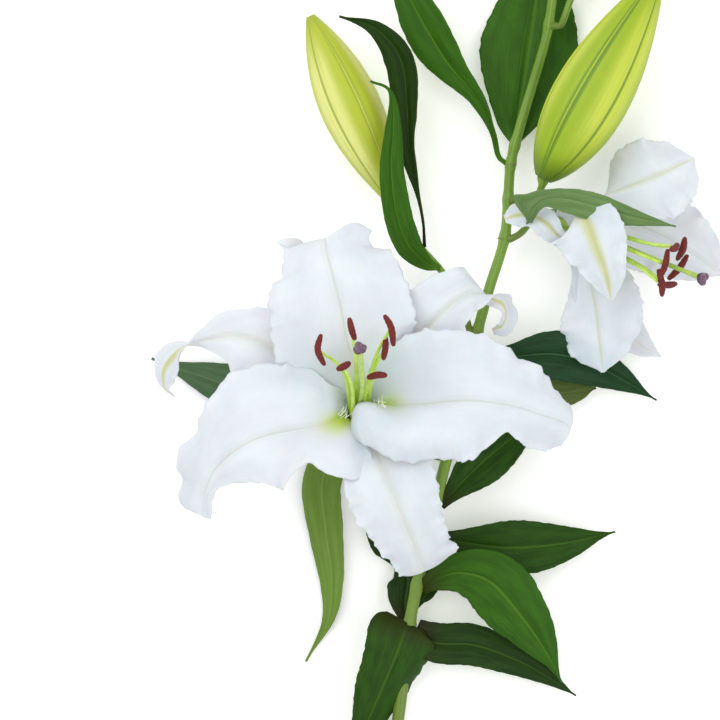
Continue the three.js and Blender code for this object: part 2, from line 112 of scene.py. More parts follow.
def makeMesh(name, points, faces, uvs, looks):
    mesh = bpy.data.meshes.new(name)
    mesh.from_pydata([tuple(p) for p in toMetres(points)], [], faces)
    layer = mesh.uv_layers.new(name="lengthwise")
    corners = np.zeros(len(mesh.loops), int)
    mesh.loops.foreach_get("vertex_index", corners)
    layer.data.foreach_set("uv", np.asarray(uvs, np.float32)[corners].ravel())
    mesh.polygons.foreach_set("use_smooth", [True] * len(mesh.polygons))
    for look in looks:
        mesh.materials.append(look)
    piece = bpy.data.objects.new(name, mesh)
    bpy.context.scene.collection.objects.link(piece)
    return piece


def standFor(piece, slotName, *nodes):
    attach(piece, "root")
    if nodes:
        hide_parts(*nodes)


bladeForm = {
    "leastWidth": 0.5,
    "raggedWaves": 13,
    "frillWaves": 20,
    "frillFrom": 0.64,  # the small teeth of a margin grow from here to the tip
    "frillOver": 0.34,
    "pleatGap": 4.5,
    "swellWaves": 2,
    "fadeIn": 0.08,  # the groove and the pleats fade at both ends
    "fadeOut": 0.12,
}


def marginOf(width, t, form, sign):
    w = np.maximum(runOf(width, t), bladeForm["leastWidth"])
    w = w * (1 + form["ragged"] * waver(t, bladeForm["raggedWaves"], form["seed"] + 9 * sign))
    teeth = form["frill"] * ease((t - bladeForm["frillFrom"]) / bladeForm["frillOver"])
    return w * (1 + teeth * waver(t, bladeForm["frillWaves"], form["seed"] + 7 * sign))


# A leaf or tepal: a thin skin along a spine. Its slopes, in degrees, are at the midrib, half way and
# at the margin. left and right are its half widths, seen from its base with its face up. Each pull
# moves the skin round one place: how far along, how far aside, two reaches and the move.
def growBlade(name, spine, face, left, right, looks, form):
    rows, side, seed = form["rows"], form["side"], form["seed"]
    path = smoothPath(spine, rows)
    t = np.linspace(0, 1, rows)
    tangents, normals = carryNormal(path, face)
    if "faces" in form:
        towards = np.stack([runOf([f[k] for f in form["faces"]], t) for k in range(3)], 1)
        normals = unit(towards - tangents * np.sum(towards * tangents, 1)[:, None])
    roll = np.radians(runOf(form.get("roll", 0), t))[:, None]
    across = np.cross(tangents, normals)
    ups = normals * np.cos(roll) - across * np.sin(roll)
    across = np.cross(tangents, ups)
    fade = (np.clip(t / bladeForm["fadeIn"], 0, 1) * np.clip((1 - t) / bladeForm["fadeOut"], 0, 1))[:, None]
    s = np.linspace(0, 1, side + 1)[None, :]  # 0 at the midrib, 1 at the margin
    halves = []
    for sign, width, key in ((1, right, "Right"), (-1, left, "Left")):
        # a side's own values are used where the form has them
        kinds = ("fold", "middle", "edge", "ruffle")
        runs = [runOf(form.get(kind + key, form.get(kind)), t)[:, None] for kind in kinds]
        fold, middle, edge, ruffle = runs
        slope = fold * (1 - s) * (1 - 2 * s) + middle * 4 * s * (1 - s) + edge * s * (2 * s - 1)
        wave = waver(t, form["waves"], seed + 5 * sign)[:, None]
        slope = np.radians(slope + ruffle * wave * s ** form["ruffleReach"])
        w = marginOf(width, t, form, sign)
        step = w[:, None] / side
        mid = (slope[:, 1:] + slope[:, :-1]) / 2
        out = np.concatenate((np.zeros((rows, 1)), np.cumsum(np.cos(mid) * step, 1)), 1)
        lift = np.concatenate((np.zeros((rows, 1)), np.cumsum(np.sin(mid) * step, 1)), 1)
        away = s * w[:, None]
        groove = form["groove"] * np.exp(-((away / form["grooveWidth"]) ** 2)) * fade
        pleat = form["pleat"] * np.cos(away * 2 * np.pi / bladeForm["pleatGap"]) * fade * (1 - s)
        swell = form["swell"] * waver(t, bladeForm["swellWaves"], seed + 3 * sign)[:, None] * s
        lift = lift - groove + pleat + swell
        points = path[:, None] + across[:, None] * (sign * out)[..., None] + ups[:, None] * lift[..., None]
        halves.append(points)
    grid = np.concatenate((halves[1][:, :0:-1], halves[0]), 1)
    acrossAll = np.linspace(-1, 1, 2 * side + 1)[None, :]
    for at, aside, reach, reachAside, by in form.get("pulls", []):
        pull = np.exp(-(((t[:, None] - at) / reach) ** 2) - ((acrossAll - aside) / reachAside) ** 2)
        grid = grid + pull[..., None] * np.asarray(by, float)
    columns = grid.shape[1]
    index = np.arange(rows * columns).reshape(rows, columns)
    quads = np.stack((index[:-1, :-1], index[:-1, 1:], index[1:, 1:], index[1:, :-1]), -1).reshape(-1, 4)
    u = np.tile(np.linspace(0, 1, columns), rows)
    v = np.repeat(t, columns)
    piece = makeMesh(name, grid.reshape(-1, 3), quads.tolist(), np.stack((u, v), 1), looks)
    skin = piece.modifiers.new("thickness", "SOLIDIFY")
    skin.thickness = form["thick"] / 1000
    skin.offset = -1
    skin.material_offset = 1
    skin.material_offset_rim = 0
    return piece


# a round piece along a path; radiusOf(t, angle) is in millimetres
def growRod(name, path, radiusOf, sides, looks, first=(0.3, 0.1, 1)):
    rows = len(path)
    tangents, normals = carryNormal(path, first)
    across = np.cross(tangents, normals)
    t = np.linspace(0, 1, rows)[:, None]
    angle = (np.arange(sides) / sides * 2 * np.pi)[None, :]
    radius = np.broadcast_to(radiusOf(t, angle), (rows, sides))[..., None]
    ring = normals[:, None] * np.cos(angle)[..., None] + across[:, None] * np.sin(angle)[..., None]
    grid = path[:, None] + ring * radius
    index = np.arange(rows * sides).reshape(rows, sides)
    nextOne = np.roll(index, -1, 1)
    quads = np.stack((index[:-1], nextOne[:-1], nextOne[1:], index[1:]), -1).reshape(-1, 4).tolist()
    quads.append(index[0, ::-1].tolist())
    quads.append(index[-1].tolist())
    u = np.tile(np.arange(sides) / sides, rows)
    v = np.repeat(np.linspace(0, 1, rows), sides)
    return makeMesh(name, grid.reshape(-1, 3), quads, np.stack((u, v), 1), looks)


# Looks: every finish is made of nodes.
# a colour as seen, 0 to 255, for a node's socket
def tone(*rgb):
    return (*[(c / 255) ** 2.2 for c in rgb], 1)


def addNode(tree, kind, inputs=None, **settings):
    node = tree.nodes.new(kind)
    for key, value in settings.items():
        setattr(node, key, value)
    for key, value in (inputs or {}).items():
        if isinstance(value, bpy.types.NodeSocket):
            tree.links.new(value, node.inputs[key])
        else:
            node.inputs[key].default_value = value
    return node


def startLook(name, **sockets):
    look = bpy.data.materials.new(name)
    look.use_nodes = True
    shader = look.node_tree.nodes["Principled BSDF"]
    for key, value in sockets.items():
        shader.inputs[key].default_value = value
    return look, look.node_tree, shader


def addMath(tree, operation, a, b=0.0):
    return addNode(tree, "ShaderNodeMath", {0: a, 1: b}, operation=operation).outputs[0]


def addRange(tree, value, low, high, toLow=0.0, toHigh=1.0):
    node = addNode(
        tree,
        "ShaderNodeMapRange",
        {"Value": value, "From Min": low, "From Max": high, "To Min": toLow, "To Max": toHigh},
        interpolation_type="SMOOTHSTEP",
    )
    return node.outputs["Result"]


def mixTone(tree, factor, a, b):
    return addNode(tree, "ShaderNodeMix", {0: factor, 6: a, 7: b}, data_type="RGBA").outputs[2]


def addNoise(tree, vector, scale, detail, roughness=0.55):
    inputs = {"Vector": vector, "Scale": scale, "Detail": detail, "Roughness": roughness}
    return addNode(tree, "ShaderNodeTexNoise", inputs).outputs["Fac"]


# the place across a piece, the place along it, and how far it is from the middle
def lengthwise(tree):
    place = addNode(tree, "ShaderNodeTexCoord").outputs["UV"]
    parts = addNode(tree, "ShaderNodeSeparateXYZ", {0: place})
    offMiddle = addMath(tree, "SUBTRACT", parts.outputs[0], 0.5)
    away = addMath(tree, "MULTIPLY", addMath(tree, "ABSOLUTE", offMiddle), 2)
    return place, parts.outputs[0], parts.outputs[1], away


def stretched(tree, place, acrossScale, alongScale):
    return addNode(tree, "ShaderNodeMapping", {"Vector": place, "Scale": (acrossScale, alongScale, 1)}).outputs[0]


def addBump(tree, shader, height, strength, distance):
    bump = addNode(tree, "ShaderNodeBump", {"Height": height, "Strength": strength, "Distance": distance})
    tree.links.new(bump.outputs[0], shader.inputs["Normal"])


petalTones = {
    "white": tone(236, 239, 243),
    "shade": tone(222, 226, 233),
    "throat": tone(186, 218, 66),
    "throatEdge": tone(214, 224, 170),
    "rib": tone(203, 205, 120),
    # groove is a painted shade: the grey of the shadow in the midrib groove
    "groove": tone(204, 211, 206),
}
petalFinish = {"Roughness": 0.55, "Subsurface Weight": 0.25, "Subsurface Scale": 0.004, "Specular IOR Level": 0.35}


def makePetalLook(name, throat, ribWidth, ribStrength, grooveShade=0.4):
    look, tree, shader = startLook(name, **petalFinish)
    place, _, v, away = lengthwise(tree)
    grain = addNoise(tree, stretched(tree, place, 70, 2.2), 1.0, 4)
    fine = addNoise(tree, stretched(tree, place, 160, 9), 1.0, 3)
    cloud = addNoise(tree, stretched(tree, place, 3, 4), 1.0, 3)
    colour = mixTone(tree, addRange(tree, cloud, 0.2, 0.75), petalTones["shade"], petalTones["white"])
    colour = mixTone(tree, addRange(tree, grain, 0.5, 0.72, 0.0, 0.3), colour, petalTones["shade"])
    if throat:
        along = addRange(tree, v, 0.21, 0.37, 1.0, 0.0)
        wide = addMath(tree, "SUBTRACT", 1.0, addRange(tree, away, 0.0, 0.4))
        soft = addMath(tree, "MULTIPLY", along, wide)
        narrow = addRange(tree, away, 0.04, 0.28, 1.0, 0.0)
        deep = addMath(tree, "MULTIPLY", addRange(tree, v, 0.19, 0.32, 1.0, 0.0), narrow)
        colour = mixTone(tree, soft, colour, petalTones["throatEdge"])
        colour = mixTone(tree, addMath(tree, "MULTIPLY", deep, 0.95), colour, petalTones["throat"])
    # painted shade: a thin grey line down the midrib groove as the groove's shadow, fading in from a fifth to half
    # way along; its strength is the look's last argument
    grooveShadeLine = addRange(tree, away, 0.004, 0.024, grooveShade, 0.0)
    groove = addMath(tree, "MULTIPLY", grooveShadeLine, addRange(tree, v, 0.2, 0.5))
    colour = mixTone(tree, groove, colour, petalTones["groove"])
    rib = addMath(tree, "MULTIPLY", addRange(tree, away, 0.0, ribWidth, 1.0, 0.0), ribStrength)
    ripple = addRange(tree, fine, 0.25, 0.7, 0.6, 1.0)
    colour = mixTone(tree, addMath(tree, "MULTIPLY", rib, ripple), colour, petalTones["rib"])
    tree.links.new(colour, shader.inputs["Base Color"])
    through = addNode(tree, "ShaderNodeBsdfTranslucent", {"Color": colour})
    blend = addNode(tree, "ShaderNodeMixShader", {0: 0.3, 1: shader.outputs[0], 2: through.outputs[0]})
    tree.links.new(blend.outputs[0], tree.nodes["Material Output"].inputs[0])
    crystal = addNoise(tree, addNode(tree, "ShaderNodeTexCoord").outputs["Object"], 1400, 2)
    height = addMath(tree, "ADD", addMath(tree, "MULTIPLY", grain, 0.35), addMath(tree, "MULTIPLY", fine, 0.2))
    height = addMath(tree, "ADD", height, addMath(tree, "MULTIPLY", crystal, 0.12))
    addBump(tree, shader, height, 0.2, 0.0005)
    return look


# leafUnder is a leaf's pale back; a leaf with a foot tone is brown where it leaves the stem
leafTones = {
    "leafDeep": dict(base=(42, 78, 8), dark=(28, 56, 4), vein=(76, 112, 24), foot=(44, 36, 10), rough=0.55),
    "leafFresh": dict(base=(54, 98, 14), dark=(40, 76, 8), vein=(88, 130, 38), rough=0.55),
    "leafArch": dict(base=(52, 96, 12), dark=(38, 72, 6), vein=(88, 130, 36), foot=(50, 44, 12), rough=0.55),
    "leafDark": dict(base=(34, 62, 8), dark=(20, 42, 4), vein=(66, 100, 24), foot=(40, 34, 10), rough=0.5),
    "leafBlue": dict(base=(30, 66, 36), dark=(20, 48, 24), vein=(70, 110, 66), rough=0.46),
    "leafUnder": dict(base=(112, 140, 62), dark=(92, 124, 48), vein=(136, 162, 86), rough=0.6),
    "leafDull": dict(base=(84, 112, 78), dark=(64, 92, 58), vein=(106, 136, 100), rough=0.5),
    "leafOlive": dict(base=(86, 102, 52), dark=(66, 82, 38), vein=(104, 120, 68), rough=0.6),
    "leafGrey": dict(base=(106, 134, 82), dark=(80, 110, 60), vein=(130, 156, 108), rough=0.55),
}
leafVeins = 7


def makeLeafLook(name, base, dark, vein, rough, foot=None):
    look, tree, shader = startLook(name, **{"Roughness": rough, "Specular IOR Level": 0.18})
    place, u, v, away = lengthwise(tree)
    base, dark, vein = tone(*base), tone(*dark), tone(*vein)
    cloud = addNoise(tree, stretched(tree, place, 6, 5), 1.0, 4)
    grain = addNoise(tree, stretched(tree, place, 60, 2.0), 1.0, 4)
    colour = mixTone(tree, addRange(tree, cloud, 0.3, 0.7, 0.3, 1.0), dark, base)
    # parallel veins that draw together at both ends
    phase = addMath(tree, "MULTIPLY", u, math.pi * leafVeins)
    line = addMath(tree, "ABSOLUTE", addMath(tree, "SINE", phase))
    veinMask = addRange(tree, line, 0.0, 0.14, 1.0, 0.0)
    colour = mixTone(tree, addMath(tree, "MULTIPLY", veinMask, 0.34), colour, vein)
    colour = mixTone(tree, addRange(tree, grain, 0.45, 0.75, 0.0, 0.35), colour, dark)
    rib = addRange(tree, away, 0.01, 0.07, 1.0, 0.0)
    colour = mixTone(tree, addMath(tree, "MULTIPLY", rib, 0.45), colour, vein)
    footReach, footStrength = (0.22, 0.75) if foot else (0.12, 0.55)
    footMask = addRange(tree, v, 0.0, footReach, footStrength, 0.0)
    colour = mixTone(tree, footMask, colour, tone(*foot) if foot else vein)
    tree.links.new(colour, shader.inputs["Base Color"])
    veinDip = addMath(tree, "MULTIPLY", veinMask, 0.5)
    addBump(tree, shader, addMath(tree, "SUBTRACT", addMath(tree, "MULTIPLY", grain, 0.6), veinDip), 0.5, 0.0008)
    return look


def makeStemLook(name, base, dark, speck):
    look, tree, shader = startLook(name, **{"Roughness": 0.42, "Specular IOR Level": 0.45})
    place, _, v, _ = lengthwise(tree)
    body = addNode(tree, "ShaderNodeTexCoord").outputs["Object"]
    streak = addNoise(tree, stretched(tree, place, 14, 6), 1.0, 5)
    cloud = addNoise(tree, body, 22, 3)
    colour = mixTone(tree, addRange(tree, streak, 0.3, 0.7), dark, base)
    colour = mixTone(tree, addRange(tree, cloud, 0.5, 0.75, 0.0, 0.5), colour, dark)
    colour = mixTone(tree, addRange(tree, v, 0.15, 0.5, 0.5, 0.0), colour, speck)
    dots = addNoise(tree, body, 700, 1)
    colour = mixTone(tree, addRange(tree, dots, 0.66, 0.74, 0.0, 0.5), colour, speck)
    tree.links.new(colour, shader.inputs["Base Color"])
    addBump(tree, shader, addMath(tree, "ADD", streak, addMath(tree, "MULTIPLY", dots, 0.3)), 0.4, 0.0006)
    return look


budFinish = {"Roughness": 0.45, "Subsurface Weight": 0.12, "Subsurface Scale": 0.004, "Specular IOR Level": 0.4}


def makeBudLook(name, rib, panel, seam, tip, ribDepth):
    look, tree, shader = startLook(name, **budFinish)
    place, u, v, _ = lengthwise(tree)
    grain = addNoise(tree, stretched(tree, place, 75, 2.0), 1.0, 4)
    cloud = addNoise(tree, stretched(tree, place, 9, 3), 1.0, 3)
    # three ribs, where turn is 1, and three seams, where it is -1
    turn = addMath(tree, "COSINE", addMath(tree, "MULTIPLY", u, 6 * math.pi))
    drift = addMath(tree, "MULTIPLY", addMath(tree, "SUBTRACT", cloud, 0.5), 0.9)
    onPanel = addRange(tree, addMath(tree, "ADD", turn, drift), 0.7, -0.75)
    belly = addMath(tree, "MULTIPLY", addRange(tree, v, 0.05, 0.35), addRange(tree, v, 0.7, 0.98, 1.0, 0.0))
    colour = mixTone(tree, addMath(tree, "MULTIPLY", onPanel, belly), rib, panel)
    colour = mixTone(tree, addRange(tree, grain, 0.42, 0.72, 0.0, 0.35), colour, rib)
    seamLine = addRange(tree, addMath(tree, "ABSOLUTE", addMath(tree, "ADD", turn, 1.0)), 0.0, 0.025, 1.0, 0.0)
    colour = mixTone(tree, addMath(tree, "MULTIPLY", seamLine, 0.7), colour, seam)
    ribLine = addRange(tree, turn, 0.9, 1.0, 0.0, ribDepth)
    colour = mixTone(tree, ribLine, colour, seam)
    colour = mixTone(tree, addRange(tree, v, 0.0, 0.14, ribDepth, 0.0), colour, seam)
    colour = mixTone(tree, addRange(tree, v, 0.93, 1.0, 0.0, 0.8), colour, tip)
    tree.links.new(colour, shader.inputs["Base Color"])
    addBump(tree, shader, grain, 0.4, 0.0009)
    return look


def makePlainLook(name, low, high, scale, roughness, bump, distance):
    look, tree, shader = startLook(name, Roughness=roughness)
    body = addNode(tree, "ShaderNodeTexCoord").outputs["Object"]
    grain = addNoise(tree, body, scale, 4, 0.65)
    tree.links.new(mixTone(tree, addRange(tree, grain, 0.3, 0.7), low, high), shader.inputs["Base Color"])
    addBump(tree, shader, grain, bump, distance)
    return look


petalFace = makePetalLook("petalFace", True, 0.03, 0.12)
sepalFace = makePetalLook("sepalFace", False, 0.06, 0.1, 0.15)
petalBack = makePetalLook("petalBack", False, 0.10, 0.35)
sepalBack = makePetalLook("sepalBack", False, 0.30, 0.9)
leafLooks = {name: makeLeafLook(name, **tones) for name, tones in leafTones.items()}
stemLook = makeStemLook("stemGreen", tone(126, 160, 58), tone(92, 128, 36), tone(84, 90, 40))
leftBudLook = makeBudLook(
    "paleBud", tone(166, 180, 46), tone(214, 216, 128), tone(128, 146, 40), tone(150, 164, 60), 0.4
)
rightBudLook = makeBudLook(
    "greenBud", tone(144, 170, 32), tone(188, 202, 68), tone(84, 120, 14), tone(140, 166, 50), 0.85
)
filamentLook = makePlainLook("filamentGreen", tone(170, 208, 70), tone(200, 226, 112), 260, 0.4, 0.2, 0.0003)
antherLook = makePlainLook("antherPollen", tone(76, 18, 18), tone(132, 50, 42), 1500, 0.85, 0.9, 0.0006)
pistilLook = makePlainLook("pistilGreen", tone(140, 176, 70), tone(176, 200, 104), 240, 0.35, 0.2, 0.0003)
stigmaLook = makePlainLook("stigmaPurple", tone(78, 52, 76), tone(120, 92, 112), 900, 0.3, 0.6, 0.0005)
hairLook = makePlainLook("throatHair", tone(232, 238, 226), tone(246, 248, 244), 500, 0.5, 0.1, 0.0001)
scarLook = makePlainLook("scarBrown", tone(112, 100, 56), tone(152, 142, 84), 1200, 0.8, 0.7, 0.0005)
print("looks made")

# stem and stalks
stemForm = {
    "path": [
        (7, -236, 3.4), (13, -190, 5), (18, -154, 8), (21, -130, 11), (24, -105, 14), (29, -80, 17),
        (37, -45, 20), (46, -8, 22), (55, 30, 23), (63, 60, 23), (71, 86, 22), (73, 105, 21),
        (74.5, 125, 20), (79, 143, 19), (85, 163, 17), (92, 187, 17), (95, 204, 18), (97, 224, 20),
    ],
    "cutRadius": 3.2,
    "topRadius": 2.2,
    "leafHeights": [-108, -88, -62, -47, -20, 5, 26, 40, 88, 107, 125, 134, 195],
    "knot": 0.55,  # the swelling where a leaf or stalk leaves the stem
    "knotReach": 0.006,
}
stemPath = smoothPath(stemForm["path"], 420)
stemT = np.linspace(0, 1, len(stemPath))


def stemRadius(t):
    return stemForm["cutRadius"] + (stemForm["topRadius"] - stemForm["cutRadius"]) * np.asarray(t) ** 1.4


def stemSurface(t, angle):
    knotsAt = [np.interp(h, stemPath[:, 1], stemT) for h in stemForm["leafHeights"]]
    knots = sum(np.exp(-(((t - at) / stemForm["knotReach"]) ** 2)) for at in knotsAt)
    ribs = 0.05 * np.cos(5 * angle + 9 * t) + 0.03 * np.cos(11 * angle - 7 * t)
    return stemRadius(t) + stemForm["knot"] * knots + ribs


standFor(growRod("stemRod", stemPath, stemSurface, 28, [stemLook]), "stem", "stem")


# a point near the stem's skin, on the side that out names
def seatOnStem(height, out, clearance):
    t = np.interp(height, stemPath[:, 1], stemT)
    k = int(round(t * (len(stemPath) - 1)))
    tangent = unit(stemPath[min(k + 1, len(stemPath) - 1)] - stemPath[max(k - 1, 0)])
    away = np.asarray(out, float)
    away = unit(away - tangent * (away @ tangent))
    return stemPath[k] + away * (stemRadius(t) + clearance)


# dry scales where leaves and stalks leave the stem
scaleForms = {
    "sideStalk": dict(height=87, out=(-0.9, 0.1, 0.5), size=2.6),
    "budStalk": dict(height=106, out=(0.7, -0.3, 0.8), size=2.0),
    "topLeaf": dict(height=125, out=(0.4, 0, 1), size=2.2),
    "lowLeaf": dict(height=-62, out=(0.3, 0, 1), size=2.2),
    "midStalk": dict(height=40, out=(0.2, 0, 1), size=2.0),
}


def scaleSurface(t, angle):
    return 0.2 + 0.28 * np.sin(np.pi * t) + 0.08 * np.cos(3 * angle)


for tag, form in scaleForms.items():
    middle = seatOnStem(form["height"], form["out"], -0.2)
    across = unit(np.cross((0, 1, 0), form["out"]))
    ends = middle - across * form["size"], middle + across * form["size"]
    ridge = smoothPath([ends[0], middle + np.asarray(form["out"]) * 0.5, ends[1]], 12)
    standFor(growRod("scar" + tag, ridge, scaleSurface, 12, [scarLook]), "stem")

# each stalk starts inside the stem, then follows its steps in millimetres and swells at its end
stalkForms = {
    "open_flower_stalk": dict(
        height=6, endRadius=6.4, swollen=7,
        steps=[(-14, -3, -2), (-18, -7, -3), (-13, -7, 5), (-2.4, -1.2, 10.5), (0, 2.4, 6.2)],
    ),
    "side_flower_stalk": dict(
        height=88, endRadius=6.4, swollen=7, steps=[(5, 3, 2), (5, 6, 3), (6, 3, 2), (6, -2.5, 2.5)]
    ),
    "left_bud_stalk": dict(
        height=40, endRadius=3.4, swollen=5, steps=[(-4, 12, 1), (-10, 17, 2), (-12, 14, -2), (-9, 16, -3)]
    ),
    "right_bud_stalk": dict(
        height=107, endRadius=3.4, swollen=5, steps=[(5, 0.6, 4), (6, 1, 6), (2.5, 5, 4), (1, 4, 0.5)]
    ),
    "top_bud_stalk": dict(height=195, endRadius=2.8, swollen=4, steps=[(3, 1, 1), (3, 8, 1), (5, 14, 0)]),
}
stalkShape = {"radius": 1.75, "rootDepth": 1.2, "shoulder": 1.4, "footSwell": 0.7, "footReach": 4}
stalkPaths = {}
for node, form in stalkForms.items():
    steps = form["steps"]
    start = seatOnStem(form["height"], steps[0], -stalkShape["rootDepth"])
    seated = seatOnStem(form["height"], steps[0], stalkShape["shoulder"])
    path = smoothPath(np.vstack((start, seated + np.vstack(((0, 0, 0), np.cumsum(steps, 0))))), 90)
    length = np.linalg.norm(np.diff(path, axis=0), axis=1).sum()

    def stalkSurface(t, angle, length=length, form=form):
        end = ease(1 - (1 - t) * length / form["swollen"])
        foot = ease(1 - t * length / stalkShape["footReach"])
        lobes = 0.07 * end * np.cos(6 * angle)
        thin = stalkShape["radius"]
        radius = thin + (form["endRadius"] - thin) * end + stalkShape["footSwell"] * foot
        return radius * (1 + lobes) + 0.04 * np.cos(5 * angle)

    stalkPaths[node] = path
    standFor(growRod(node.replace("_", "") + "Rod", path, stalkSurface, 24, [stemLook]), "stem", node)
print("stem and stalks made")

# Leaves. An outline is the half width from foot to tip, as a part of the widest.
lance = [0.2, 0.34, 0.55, 0.78, 0.95, 1.0, 0.95, 0.82, 0.64, 0.42, 0.16, 0.0]
heart = [0.5, 0.82, 0.98, 1.0, 0.96, 0.9, 0.8, 0.68, 0.54, 0.37, 0.17, 0.0]
stalked = [0.09, 0.1, 0.15, 0.3, 0.42, 0.6, 0.84, 0.96, 1.0, 0.9, 0.65, 0.3, 0.0]
thinFoot = [0.08, 0.08, 0.12, 0.34, 0.55, 0.72, 0.9, 1.0, 0.95, 0.65, 0.26, 0.0]
thinTip = [0.16, 0.55, 0.88, 1.0, 1.0, 0.96, 0.88, 0.78, 0.6, 0.34, 0.08, 0.0]
wedge = [0.04, 0.34, 0.58, 0.78, 0.93, 1.0, 0.95, 0.82, 0.64, 0.42, 0.16, 0.0]
clasping = [0.7, 0.9, 0.98, 1.0, 0.98, 0.92, 0.82, 0.7, 0.55, 0.37, 0.17, 0.0]
blunt = [0.12, 0.26, 0.42, 0.6, 0.76, 0.9, 0.98, 1.0, 0.95, 0.8, 0.5, 0.0]
late = [0.12, 0.26, 0.42, 0.6, 0.76, 0.9, 1.0, 1.0, 0.88, 0.62, 0.26, 0.0]


# half widths to the left and right: the form's own, or an outline's
def halfWidths(form, outline=None):
    return [form[side] if side in form else [w * form["half"] for w in outline] for side in ("left", "right")]


